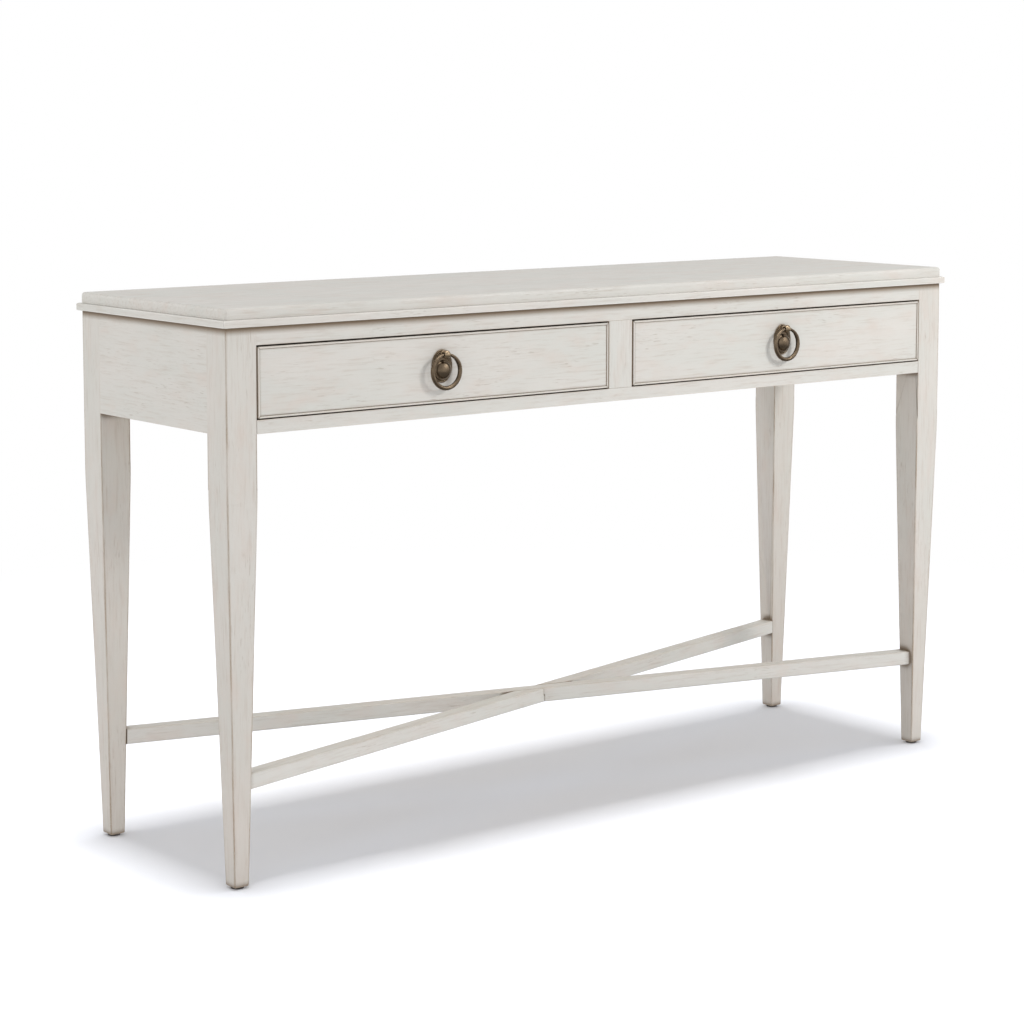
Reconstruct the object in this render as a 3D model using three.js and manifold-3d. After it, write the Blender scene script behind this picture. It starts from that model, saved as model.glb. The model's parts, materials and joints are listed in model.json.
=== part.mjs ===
// Console table: a painted hardwood frame on four tapered legs, with a moulded top, two inset
// drawers with ring pulls, and a crossed stretcher.
// Millimetres. +X runs along the table, -Y is its front, +Z is up, and the feet stand on z = 0.
import * as THREE from 'three';
import { mergeVertices } from 'three/addons/utils/BufferGeometryUtils.js';
import Module from 'manifold-3d';

const wasm = await Module();
wasm.setup();

// Overall size, measured over the moulding under the top
const LENGTH = 1372;
const DEPTH = 391;
const HEIGHT = 786;

// Gaps: round pieces that fit into each other, at mitres, at angled and bored cuts, and a cutting
// tool's overshoot
const PLAY = 0.25;
const MITRE_GAP = 0.25;
const CUT_GAP = 0.3;
const OVERCUT = 1;

// Top board and the moulding under it
const PANEL_THICKNESS = 15.5;
const PANEL_EDGE_RADIUS = 4.5;
const PANEL_CORNER_RADIUS = 6;
const MOULDING_HEIGHT = 10.25;
const MOULDING_WIDTH = 60;
const MOULDING_STEP = 4.5;
const MOULDING_EDGE_RADIUS = 2;

// Legs
const LEG_INSET = 6.25;
const LEG_WIDTH = 47.5;
const FOOT_WIDTH = 22.75;
const TAPER_TOP = 527;
const TAPER_BLEND = 14;
const FOOT_CHAMFER = 1.5;
const GLIDE_HEIGHT = 3;
const GLIDE_RADIUS = 9;
const GLIDE_EDGE = 0.75;
const GLIDE_PIN_RADIUS = 1.5;
const GLIDE_PIN_LENGTH = 14;
const GLIDE_PIN_POINT = 2;

// Aprons and the front frame
const APRON_BOTTOM = 617;
const APRON_THICKNESS = 20;
const RAIL_THICKNESS = 22;
const OPENING_BOTTOM = 636;
const OPENING_TOP = 735;
const STILE_WIDTH = 44.5;
const TENON_THICKNESS = 10;
const TENON_LENGTH = 16;
const TENON_SHOULDER = 4;
const STILE_TENON_LENGTH = 6;

// Drawer runners below and kickers above
const RUNNER_REACH = 32.25;
const GUIDE_HEIGHT = 24;
const GUIDE_CLEARANCE = 0.75;
const SCREW_RADIUS = 2;
const SCREW_HEAD_RADIUS = 4;
const SCREW_HEAD_RIM = 0.5;
const SCREW_HEAD_HEIGHT = 2.5;
const SCREW_POINT = 4;
const SCREW_SINK = 2;
const SCREW_LENGTH = 45;
const SCREW_INSET = 16;

// Crossed stretcher
const STRETCHER_BOTTOM = 133.75;
const STRETCHER_HEIGHT = 22;
const STRETCHER_WIDTH = 24;
const STRETCHER_CHAMFER = 1.25;
const STUB_WIDTH = 10;
const STUB_HEIGHT = 12;
const STUB_LENGTH = 10;
const DOWEL_RADIUS = 4;
const DOWEL_COVER = 4;

// Drawers
const GAP_SIDE = 1.75;
const GAP_TOP = 2;
const GAP_BOTTOM = 1.5;
const FRONT_THICKNESS = 20;
const BEAD_WIDTH = 3;
const BEAD_DEPTH = 10.5;
const BEAD_NOSE = 1.5;
const SIDE_THICKNESS = 12;
const SIDE_LAP = 6;
const SIDE_BOTTOM = OPENING_BOTTOM + PLAY;
const SIDE_TOP = 731.25;
const SIDE_BACK_GAP = 0.5;
const BACK_SETBACK = 6.75;
const BACK_TOP = 725;
const BOTTOM_LEVEL = 643;
const BOTTOM_THICKNESS = 5;
const GROOVE_DEPTH = 6;

// Ring pulls; depths are measured forward from the face of the drawer
const PLATE_LEVEL = 688.5;
const PLATE_HALF_WIDTH = 17.5;
const PLATE_HALF_HEIGHT = 23;
const RIB_PITCH = 2.2;
const RIB_RISE = 0.8;
const RIB_HEIGHT = 1.5;
const RIB_FOOT = 0.45;
const RIB_ARC = 0.8 * Math.PI;
const RIB_COUNT = 3;
const DOME_DROP = 5.25;
const DOME_HALF_WIDTH = 14.5;
const DOME_HALF_HEIGHT = 14.5;
const DOME_RISE = 11;
const POST_RISE = 17;
const POST_RADIUS = 2.25;
const POST_INSIDE = 26;
const COLLAR_RADIUS = 5;
const COLLAR_HEIGHT = 2.4;
const WAIST_ANGLE = 0.18 * Math.PI;
const BALL_RADIUS = 6;
const BALL_STANDOFF = 11;
const BALL_HOLE_RADIUS = 3.1;
const RING_RADIUS = 23.5;
const RING_WIRE_BOTTOM = 3.15;
const RING_WIRE_TOP = 2.1;
const RING_SWELL_START = 0.25;
const RING_SWELL_END = 1.3;
const NUT_RADIUS = 4.6;
const NUT_HEIGHT = 4;

// Places that follow from the sizes above
const BOARD_BOTTOM = HEIGHT - PANEL_THICKNESS;
const FRAME_TOP = BOARD_BOTTOM - MOULDING_HEIGHT;
const FRAME_X = LENGTH / 2 - LEG_INSET;
const FRAME_Y = DEPTH / 2 - LEG_INSET;
const LEG_X = FRAME_X - LEG_WIDTH / 2;
const LEG_Y = FRAME_Y - LEG_WIDTH / 2;
const INNER_X = FRAME_X - LEG_WIDTH;
const INNER_Y = FRAME_Y - LEG_WIDTH;
const FACE_Y = -FRAME_Y;
const RAIL_BACK_Y = FACE_Y + RAIL_THICKNESS;
const APRON_INNER_Y = FRAME_Y - APRON_THICKNESS;
const APRON_INNER_X = FRAME_X - APRON_THICKNESS;
const DRAWER_X = (INNER_X + STILE_WIDTH / 2) / 2;
const FRONT_HALF_WIDTH = (INNER_X - STILE_WIDTH / 2) / 2 - GAP_SIDE;
const FRONT_BOTTOM = OPENING_BOTTOM + GAP_BOTTOM;
const FRONT_TOP = OPENING_TOP - GAP_TOP;
const FRONT_LEVEL = (FRONT_BOTTOM + FRONT_TOP) / 2;
const FRONT_HALF_HEIGHT = (FRONT_TOP - FRONT_BOTTOM) / 2;
const FRONT_BACK_Y = FACE_Y + FRONT_THICKNESS;
const DRAWER_BACK_Y = APRON_INNER_Y - SIDE_BACK_GAP;
const POST_LEVEL = PLATE_LEVEL + POST_RISE;
const STRETCHER_TOP = STRETCHER_BOTTOM + STRETCHER_HEIGHT;
const STRETCHER_ANGLE = Math.atan2(LEG_Y, LEG_X);
const SCREW_X = INNER_X - RUNNER_REACH / 2;
const SCREW_Y = INNER_Y + SCREW_INSET / 2;
const SCREW_BOTTOM = OPENING_TOP + SCREW_SINK;
const SCREW_TIP = SCREW_BOTTOM + SCREW_LENGTH;
const TOP_RAIL = [OPENING_TOP, FRAME_TOP];
const BOTTOM_RAIL = [APRON_BOTTOM, OPENING_BOTTOM];
const RUNNER_RUN = [RAIL_BACK_Y, APRON_INNER_Y];
const COLLAR_BASE = RIB_RISE * (RIB_COUNT - 1) + RIB_HEIGHT + CUT_GAP;
// The pulls stand further forward than the moulding, so the box's middle lies in front of the frame's
const CENTRING_Y = (BALL_STANDOFF + BALL_RADIUS - LEG_INSET) / 2;

// Limits of the drawer's bottom board and back board; x is measured from the middle of the drawer
const SIDE_INNER = FRONT_HALF_WIDTH - SIDE_THICKNESS;
const PANEL_HALF = SIDE_INNER + GROOVE_DEPTH;
const BACK_FACE_Y = DRAWER_BACK_Y - BACK_SETBACK;
const BOTTOM_TOP = BOTTOM_LEVEL + BOTTOM_THICKNESS;
const BOTTOM_Y = [FRONT_BACK_Y - GROOVE_DEPTH, BACK_FACE_Y];
const BOTTOM_LIMITS = [[-PANEL_HALF, PANEL_HALF], BOTTOM_Y, [BOTTOM_LEVEL, BOTTOM_TOP]];
const BACK_Y = [BACK_FACE_Y - SIDE_THICKNESS, BACK_FACE_Y];
const BACK_LIMITS = [[-PANEL_HALF, PANEL_HALF], BACK_Y, [BOTTOM_TOP + PLAY, BACK_TOP]];

const CORNERS = [
  [-1, -1, 'front_left'],
  [1, -1, 'front_right'],
  [-1, 1, 'back_left'],
  [1, 1, 'back_right'],
];

const FINISHES = {
  paint: { color: 0xd9d5ce, roughness: 0.55, metalness: 0 },
  bareWood: { color: 0xc9a97c, roughness: 0.7, metalness: 0 },
  plywood: { color: 0xd4bb93, roughness: 0.75, metalness: 0 },
  brass: { color: 0x5a4c3b, roughness: 0.35, metalness: 0.9 },
  steel: { color: 0x9a9ca0, roughness: 0.4, metalness: 0.9 },
  plastic: { color: 0x3a3632, roughness: 0.6, metalness: 0 },
};

// ---- Solids -------------------------------------------------------------------------------

// A box between two limits on each axis
function block([x0, x1], [y0, y1], [z0, z1]) {
  const geometry = new THREE.BoxGeometry(x1 - x0, y1 - y0, z1 - z0);
  return geometry.translate((x0 + x1) / 2, (y0 + y1) / 2, (z0 + z1) / 2);
}

// The same box, larger by a margin on every side
function grownBlock(x, y, z, margin) {
  return block(...[x, y, z].map(([low, high]) => [low - margin, high + margin]));
}

// A closed skin over rings of points, each ring convex and counter-clockwise about the way it travels
function loft(rings) {
  const count = rings[0].length;
  const faces = [];
  for (let ring = 0; ring < rings.length - 1; ring++) {
    for (let i = 0; i < count; i++) {
      const next = (i + 1) % count;
      const [a, b] = [ring * count + i, ring * count + next];
      faces.push(a, b, b + count, a, b + count, a + count);
    }
  }
  const last = (rings.length - 1) * count;
  for (let i = 1; i < count - 1; i++) {
    faces.push(0, i + 1, i, last, last + i, last + i + 1);
  }
  const geometry = new THREE.BufferGeometry();
  geometry.setAttribute('position', new THREE.Float32BufferAttribute(rings.flat(2), 3));
  geometry.setIndex(faces);
  return geometry;
}

// A bar along X with mitred ends; across tells how far inside the frame's edge a point of it lies
function mitredBar(section, halfRun, across) {
  const end = (sign) => section.map((point) => [sign * (halfRun - MITRE_GAP - across(point)), ...point]);
  return loft([end(-1), end(1)]);
}

// A cylinder that stands along Z
function rod(radius, bottom, top, sides = 16) {
  const geometry = new THREE.CylinderGeometry(radius, radius, top - bottom, sides);
  return geometry.rotateX(Math.PI / 2).translate(0, 0, (bottom + top) / 2);
}

// A turned piece about Z, from [radius, height] pairs
function turned(profile, sides = 16) {
  const points = profile.map(([radius, height]) => new THREE.Vector2(radius, height));
  return new THREE.LatheGeometry(points, sides).rotateX(Math.PI / 2);
}

function toSolid(geometry) {
  const bare = geometry.clone();
  bare.deleteAttribute('normal');
  bare.deleteAttribute('uv');
  const merged = mergeVertices(bare);
  const vertProperties = new Float32Array(merged.attributes.position.array);
  const triVerts = new Uint32Array(merged.index.array);
  return new wasm.Manifold(new wasm.Mesh({ numProp: 3, vertProperties, triVerts }));
}

function toGeometry(solid) {
  const mesh = solid.getMesh();
  const geometry = new THREE.BufferGeometry();
  geometry.setAttribute('position', new THREE.Float32BufferAttribute(mesh.vertProperties, 3));
  geometry.setIndex(new THREE.Uint32BufferAttribute(mesh.triVerts, 1));
  return geometry;
}

function join(geometry, ...others) {
  return toGeometry(others.reduce((solid, other) => solid.add(toSolid(other)), toSolid(geometry)));
}

function cut(geometry, ...tools) {
  return toGeometry(tools.reduce((solid, tool) => solid.subtract(toSolid(tool)), toSolid(geometry)));
}

function piece(name, finish, geometry, position = [0, 0, 0]) {
  const mesh = new THREE.Mesh(geometry, new THREE.MeshStandardMaterial(FINISHES[finish]));
  mesh.name = name;
  mesh.position.set(...position);
  mesh.geometry.computeVertexNormals();
  return mesh;
}

// ---- Top ----------------------------------------------------------------------------------

// A rectangle with rounded corners, counter-clockwise, at one level
function roundedRing(halfX, halfY, radius, level) {
  const steps = 5;
  const ring = [];
  [[1, 1], [-1, 1], [-1, -1], [1, -1]].forEach(([sx, sy], corner) => {
    for (let i = 0; i <= steps; i++) {
      const angle = (corner + i / steps) * Math.PI / 2;
      const x = sx * (halfX - radius) + radius * Math.cos(angle);
      ring.push([x, sy * (halfY - radius) + radius * Math.sin(angle), level]);
    }
  });
  return ring;
}

function topPanel() {
  const halfX = LENGTH / 2 - MOULDING_STEP;
  const halfY = DEPTH / 2 - MOULDING_STEP;
  const rings = [roundedRing(halfX, halfY, PANEL_CORNER_RADIUS, BOARD_BOTTOM)];
  const steps = 4;
  for (let i = 0; i <= steps; i++) {
    const angle = (i / steps) * Math.PI / 2;
    const inset = PANEL_EDGE_RADIUS * (1 - Math.cos(angle));
    const level = HEIGHT - PANEL_EDGE_RADIUS * (1 - Math.sin(angle));
    rings.push(roundedRing(halfX - inset, halfY - inset, PANEL_CORNER_RADIUS - inset, level));
  }
  return piece('top_panel', 'paint', cut(loft(rings), ...screwHoles()));
}

// The four sides of a mitred frame, in quarter turns from the first: each one's half length, and its
// distance from the middle
function mitredSides(names, halfX, halfY) {
  return names.map((name, quarter) => (quarter % 2 === 0 ? [name, halfX, halfY] : [name, halfY, halfX]));
}

// One batten of the moulding, mitred at both ends, in front of the middle of the table
function mouldingStrip(halfRun, reach) {
  const inner = MOULDING_WIDTH - reach;
  const section = [[inner, FRAME_TOP], [inner, BOARD_BOTTOM]];
  const steps = 3;
  for (let i = 0; i <= steps; i++) {
    const angle = (i / steps) * Math.PI / 2;
    const setback = MOULDING_EDGE_RADIUS * (1 - Math.sin(angle));
    const drop = MOULDING_EDGE_RADIUS * (1 - Math.cos(angle));
    section.push([setback - reach, BOARD_BOTTOM - drop]);
  }
  section.push([-reach, FRAME_TOP]);
  return mitredBar(section, halfRun, ([y]) => y + reach);
}

function mouldings() {
  const sides = mitredSides(['front', 'right', 'back', 'left'], LENGTH / 2, DEPTH / 2);
  return sides.map(([side, halfRun, reach], quarter) => {
    const strip = mouldingStrip(halfRun, reach);
    const runsAlong = quarter % 2 === 0;
    const geometry = runsAlong ? cut(strip, ...screwHoles()) : strip;
    const mesh = piece(`moulding_${side}`, 'paint', geometry);
    mesh.rotation.z = quarter * Math.PI / 2;
    return mesh;
  });
}

// ---- Legs ---------------------------------------------------------------------------------

// Half the leg's width at a height: straight above, a short soft shoulder, then an even taper
function legHalfWidth(z) {
  const slope = (LEG_WIDTH - FOOT_WIDTH) / 2 / (TAPER_TOP - GLIDE_HEIGHT);
  const below = TAPER_TOP - z;
  if (below <= -TAPER_BLEND) return LEG_WIDTH / 2;
  if (below >= TAPER_BLEND) return LEG_WIDTH / 2 - slope * below;
  return LEG_WIDTH / 2 - slope * (below + TAPER_BLEND) ** 2 / (4 * TAPER_BLEND);
}

function squareRing(half, z) {
  return [[half, half, z], [-half, half, z], [-half, -half, z], [half, -half, z]];
}

function legBlank() {
  const rings = [squareRing(legHalfWidth(GLIDE_HEIGHT) - FOOT_CHAMFER, GLIDE_HEIGHT)];
  rings.push(squareRing(legHalfWidth(GLIDE_HEIGHT + FOOT_CHAMFER), GLIDE_HEIGHT + FOOT_CHAMFER));
  const steps = 4;
  for (let i = 0; i <= steps; i++) {
    const z = TAPER_TOP - TAPER_BLEND + 2 * TAPER_BLEND * i / steps;
    rings.push(squareRing(legHalfWidth(z), z));
  }
  rings.push(squareRing(LEG_WIDTH / 2, FRAME_TOP));
  return loft(rings);
}

// The boards that are tenoned into one leg
function legTenons(sx, sy) {
  const others = sy < 0 ? [railTenon(sx, TOP_RAIL), railTenon(sx, BOTTOM_RAIL)] : [backTenon(sx)];
  return [sideTenon(sx, sy), ...others];
}

function leg(sx, sy, name) {
  const centre = [-sx * LEG_X, -sy * LEG_Y, 0];
  const tenons = legTenons(sx, sy);
  const mortises = tenons.map((limits) => grownBlock(...limits, PLAY).translate(...centre));
  const stub = stretcherStub(Math.atan2(sy * LEG_Y, sx * LEG_X), CUT_GAP).translate(...centre);
  const pinHole = rod(GLIDE_PIN_RADIUS + PLAY, 0, GLIDE_HEIGHT + GLIDE_PIN_LENGTH + PLAY);
  const geometry = cut(legBlank(), ...mortises, stub, pinHole);
  return piece(`leg_${name}`, 'paint', geometry, [sx * LEG_X, sy * LEG_Y, 0]);
}

// A nail-on glide under each foot
function glide(sx, sy, name) {
  const tip = GLIDE_HEIGHT + GLIDE_PIN_LENGTH;
  const profile = [[0, 0], [GLIDE_RADIUS - GLIDE_EDGE, 0], [GLIDE_RADIUS, GLIDE_EDGE]];
  profile.push([GLIDE_RADIUS, GLIDE_HEIGHT], [GLIDE_PIN_RADIUS, GLIDE_HEIGHT]);
  profile.push([GLIDE_PIN_RADIUS, tip - GLIDE_PIN_POINT], [0, tip]);
  return piece(`glide_${name}`, 'plastic', turned(profile), [sx * LEG_X, sy * LEG_Y, 0]);
}

// ---- Aprons and front frame -----------------------------------------------------------------

// Limits along one axis, mirrored to the side that a sign names
function mirrored(sign, near, far) {
  return sign > 0 ? [near, far] : [-far, -near];
}

// Limits of a tenon's thickness, in the middle of a board
function middle(low, high) {
  return [(low + high - TENON_THICKNESS) / 2, (low + high + TENON_THICKNESS) / 2];
}

function shouldered([low, high]) {
  return [low + TENON_SHOULDER, high - TENON_SHOULDER];
}

function sideTenon(sx, sy) {
  const [near, far] = middle(APRON_INNER_X, FRAME_X);
  const reach = mirrored(sy, INNER_Y, INNER_Y + TENON_LENGTH);
  return [mirrored(sx, near, far), reach, shouldered([APRON_BOTTOM, FRAME_TOP])];
}

function backTenon(sx) {
  const reach = mirrored(sx, INNER_X, INNER_X + TENON_LENGTH);
  return [reach, middle(APRON_INNER_Y, FRAME_Y), shouldered([APRON_BOTTOM, FRAME_TOP])];
}

function railTenon(sx, levels) {
  const reach = mirrored(sx, INNER_X, INNER_X + TENON_LENGTH);
  return [reach, middle(FACE_Y, RAIL_BACK_Y), shouldered(levels)];
}

// The stile's tenon through both rails' edges, from the one below to the one above
function stileTenon() {
  const z = [OPENING_BOTTOM - STILE_TENON_LENGTH, OPENING_TOP + STILE_TENON_LENGTH];
  return [shouldered([-STILE_WIDTH / 2, STILE_WIDTH / 2]), middle(FACE_Y, RAIL_BACK_Y), z];
}

// A board with a tenon at both ends: the tenons are one long tongue that runs through the board
function tenoned(limits, low, high) {
  const tongue = low.map((range, axis) => [range[0], high[axis][1]]);
  return join(block(...limits), block(...tongue));
}

function sideApron(sx, name) {
  const limits = [mirrored(sx, APRON_INNER_X, FRAME_X), [-INNER_Y, INNER_Y], [APRON_BOTTOM, FRAME_TOP]];
  return piece(`apron_${name}`, 'paint', tenoned(limits, sideTenon(sx, -1), sideTenon(sx, 1)));
}

function backApron() {
  const limits = [[-INNER_X, INNER_X], [APRON_INNER_Y, FRAME_Y], [APRON_BOTTOM, FRAME_TOP]];
  return piece('apron_back', 'paint', tenoned(limits, backTenon(-1), backTenon(1)));
}

function frontRail(name, levels) {
  const limits = [[-INNER_X, INNER_X], [FACE_Y, RAIL_BACK_Y], levels];
  const rail = tenoned(limits, railTenon(-1, levels), railTenon(1, levels));
  return piece(`rail_${name}`, 'paint', cut(rail, grownBlock(...stileTenon(), PLAY)));
}

function frontStile() {
  const board = [[-STILE_WIDTH / 2, STILE_WIDTH / 2], [FACE_Y, RAIL_BACK_Y], [OPENING_BOTTOM, OPENING_TOP]];
  return piece('stile', 'paint', join(block(...board), block(...stileTenon())));
}

// ---- Runners, kickers and the screws of the top ----------------------------------------------

const GUIDE_LEVELS = [APRON_BOTTOM, OPENING_BOTTOM + GUIDE_HEIGHT];

// A side runner carries one drawer's outer side, and fills out to the apron as its guide
function sideRunner(sx, name) {
  const base = block(mirrored(sx, INNER_X - RUNNER_REACH, INNER_X), RUNNER_RUN, BOTTOM_RAIL);
  const guideFace = INNER_X - GAP_SIDE + GUIDE_CLEARANCE;
  const guide = block(mirrored(sx, guideFace, APRON_INNER_X), [-INNER_Y, INNER_Y], GUIDE_LEVELS);
  return piece(`runner_${name}`, 'bareWood', join(base, guide));
}

// The centre runner carries the inner side of both drawers, with one guide between them
function centreRunner() {
  const half = STILE_WIDTH / 2 + GAP_SIDE - GUIDE_CLEARANCE;
  const base = block([-STILE_WIDTH, STILE_WIDTH], RUNNER_RUN, BOTTOM_RAIL);
  const guide = block([-half, half], RUNNER_RUN, GUIDE_LEVELS);
  return piece('runner_center', 'bareWood', join(base, guide));
}

function kickers() {
  const middleStrip = block([-STILE_WIDTH, STILE_WIDTH], RUNNER_RUN, TOP_RAIL);
  const outer = [[-1, 'left'], [1, 'right']].map(([sx, name]) => {
    const strip = block(mirrored(sx, INNER_X - RUNNER_REACH, INNER_X), RUNNER_RUN, TOP_RAIL);
    return piece(`kicker_${name}`, 'bareWood', cut(strip, ...screwHoles()));
  });
  return [piece('kicker_center', 'bareWood', middleStrip), ...outer];
}

// A countersunk wood screw, up through the kicker and the moulding into the board
function screw(sx, sy, name) {
  const profile = [[0, SCREW_BOTTOM], [SCREW_HEAD_RADIUS, SCREW_BOTTOM]];
  profile.push([SCREW_HEAD_RADIUS, SCREW_BOTTOM + SCREW_HEAD_RIM]);
  profile.push([SCREW_RADIUS, SCREW_BOTTOM + SCREW_HEAD_HEIGHT]);
  profile.push([SCREW_RADIUS, SCREW_TIP - SCREW_POINT], [0, SCREW_TIP]);
  return piece(`top_screw_${name}`, 'steel', turned(profile, 12), [sx * SCREW_X, sy * SCREW_Y, 0]);
}

// Clearance for the screws, counterbored a little deeper than their heads
function screwHoles() {
  const [wide, narrow] = [SCREW_HEAD_RADIUS + CUT_GAP, SCREW_RADIUS + CUT_GAP];
  const mouth = OPENING_TOP - OVERCUT;
  const shoulder = SCREW_BOTTOM + SCREW_HEAD_HEIGHT + OVERCUT;
  const bore = [[0, mouth], [wide, mouth], [wide, shoulder], [narrow, shoulder]];
  bore.push([narrow, SCREW_TIP], [0, SCREW_TIP + CUT_GAP]);
  return CORNERS.map(([sx, sy]) => turned(bore, 12).translate(sx * SCREW_X, sy * SCREW_Y, 0));
}

// ---- Crossed stretcher ------------------------------------------------------------------------

// The stub tenon that a bar sets into the leg it points at, grown by a gap to make its mortise
function stretcherStub(angle, gap) {
  const level = (STRETCHER_BOTTOM + STRETCHER_TOP) / 2;
  const start = (LEG_X - legHalfWidth(level)) / Math.cos(STRETCHER_ANGLE);
  const [half, rise] = [STUB_WIDTH / 2 + gap, STUB_HEIGHT / 2 + gap];
  const along = [start - STUB_LENGTH, start + STUB_LENGTH + gap];
  return block(along, [-half, half], [level - rise, level + rise]).rotateZ(angle);
}

// A bar along X turned to its angle; each end follows the slope of the leg it dies on
function stretcherBar(angle) {
  const [half, c] = [STRETCHER_WIDTH / 2, STRETCHER_CHAMFER];
  const [low, high] = [STRETCHER_BOTTOM, STRETCHER_TOP];
  const section = [[half, low + c], [half, high - c], [half - c, high], [c - half, high]];
  section.push([-half, high - c], [-half, low + c], [c - half, low], [half - c, low]);
  const end = (sign) => section.map(([v, z]) => {
    const reach = LEG_X - legHalfWidth(z) - CUT_GAP;
    const run = (sign * reach + v * Math.sin(angle)) / Math.cos(angle);
    return [run, v, z];
  });
  return loft([end(-1), end(1)]).rotateZ(angle);
}

function stretcher(name, angle, lapLevels) {
  const bar = stretcherBar(angle);
  const stubs = [stretcherStub(angle, 0), stretcherStub(angle + Math.PI, 0)];
  const lapHalf = STRETCHER_WIDTH / 2 + CUT_GAP;
  const lap = block([-LEG_Y, LEG_Y], [-lapHalf, lapHalf], lapLevels).rotateZ(-angle);
  const hole = rod(DOWEL_RADIUS + PLAY, STRETCHER_BOTTOM - OVERCUT, STRETCHER_TOP - DOWEL_COVER);
  return piece(`stretcher_${name}`, 'paint', cut(join(bar, ...stubs), lap, hole));
}

function stretchers() {
  const mid = (STRETCHER_BOTTOM + STRETCHER_TOP) / 2;
  const upperHalf = [mid - CUT_GAP / 2, STRETCHER_TOP + OVERCUT];
  const lowerHalf = [STRETCHER_BOTTOM - OVERCUT, mid + CUT_GAP / 2];
  const dowel = rod(DOWEL_RADIUS, STRETCHER_BOTTOM, STRETCHER_TOP - DOWEL_COVER - PLAY);
  return [
    stretcher('lower', STRETCHER_ANGLE, upperHalf),
    stretcher('upper', -STRETCHER_ANGLE, lowerHalf),
    piece('stretcher_dowel', 'bareWood', dowel),
  ];
}

// ---- Drawers: x is measured from the middle of the drawer --------------------------------------

function drawerFront(prefix) {
  const coreX = FRONT_HALF_WIDTH - BEAD_WIDTH;
  const coreZ = [FRONT_BOTTOM + BEAD_WIDTH, FRONT_TOP - BEAD_WIDTH];
  const beadBack = FACE_Y + BEAD_DEPTH;
  const backerZ = [FRONT_BOTTOM, FRONT_TOP];
  const backer = block([-FRONT_HALF_WIDTH, FRONT_HALF_WIDTH], [beadBack, FRONT_BACK_Y], backerZ);
  const core = block([-coreX, coreX], [FACE_Y, beadBack + OVERCUT], coreZ);
  const lapY = [FRONT_BACK_Y - SIDE_LAP, FRONT_BACK_Y + OVERCUT];
  const lapZ = [FRONT_BOTTOM - OVERCUT, SIDE_TOP + PLAY];
  const laps = [-1, 1].map((sx) => block(mirrored(sx, SIDE_INNER, FRONT_HALF_WIDTH + OVERCUT), lapY, lapZ));
  const groove = grownBlock(...BOTTOM_LIMITS, PLAY);
  const hole = rod(POST_RADIUS + CUT_GAP, -OVERCUT, FRONT_THICKNESS + OVERCUT);
  hole.rotateX(-Math.PI / 2).translate(0, FACE_Y, POST_LEVEL);
  return piece(`${prefix}_front`, 'paint', cut(join(backer, core), ...laps, groove, hole));
}

// The bead is a thin strip with a round nose; local z runs across it, away from the panel
function beadStrip(halfRun) {
  const steps = 6;
  const section = [[BEAD_DEPTH, 0], [BEAD_DEPTH, BEAD_WIDTH]];
  for (let i = 0; i <= steps; i++) {
    const angle = (i / steps) * Math.PI;
    const across = BEAD_WIDTH / 2 * (1 + Math.cos(angle));
    section.push([-BEAD_NOSE * Math.sin(angle), across]);
  }
  return mitredBar(section, halfRun, ([, z]) => BEAD_WIDTH - z);
}

function beads(prefix) {
  const sides = mitredSides(['top', 'right', 'bottom', 'left'], FRONT_HALF_WIDTH, FRONT_HALF_HEIGHT);
  return sides.map(([side, halfRun, reach], quarter) => {
    const turn = quarter * Math.PI / 2;
    const offset = reach - BEAD_WIDTH;
    const position = [offset * Math.sin(turn), FACE_Y, FRONT_LEVEL + offset * Math.cos(turn)];
    const mesh = piece(`${prefix}_bead_${side}`, 'paint', beadStrip(halfRun), position);
    mesh.rotation.y = turn;
    return mesh;
  });
}

function drawerSide(prefix, sx, name) {
  const run = [FRONT_BACK_Y - SIDE_LAP, DRAWER_BACK_Y];
  const board = block(mirrored(sx, SIDE_INNER, FRONT_HALF_WIDTH), run, [SIDE_BOTTOM, SIDE_TOP]);
  const [panelX, , panelZ] = BOTTOM_LIMITS;
  const grooveRun = [FRONT_BACK_Y - 2 * GROOVE_DEPTH, DRAWER_BACK_Y + OVERCUT];
  const groove = grownBlock(panelX, grooveRun, panelZ, PLAY);
  const dado = grownBlock(panelX, BACK_Y, [BOTTOM_TOP + PLAY, SIDE_TOP + OVERCUT], PLAY);
  const geometry = cut(board, groove, dado);
  return piece(`${prefix}_side_${name}`, 'bareWood', geometry);
}

function drawer(side, sx) {
  const prefix = `drawer_${side}`;
  const group = new THREE.Group();
  group.position.set(sx * DRAWER_X, 0, 0);
  group.add(drawerFront(prefix), ...beads(prefix));
  group.add(drawerSide(prefix, -1, 'left'), drawerSide(prefix, 1, 'right'));
  group.add(piece(`${prefix}_back`, 'bareWood', block(...BACK_LIMITS)));
  group.add(piece(`${prefix}_bottom`, 'plywood', block(...BOTTOM_LIMITS)));
  group.add(pull(side));
  return group;
}

// ---- Ring pulls: -y is forward, measured from the face of the drawer ----------------------------

function ovalRing(halfX, halfZ, depth) {
  const count = 36;
  return Array.from({ length: count }, (_, i) => {
    const angle = (i / count) * 2 * Math.PI;
    return [halfX * Math.cos(angle), -depth, halfZ * Math.sin(angle)];
  });
}

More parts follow.
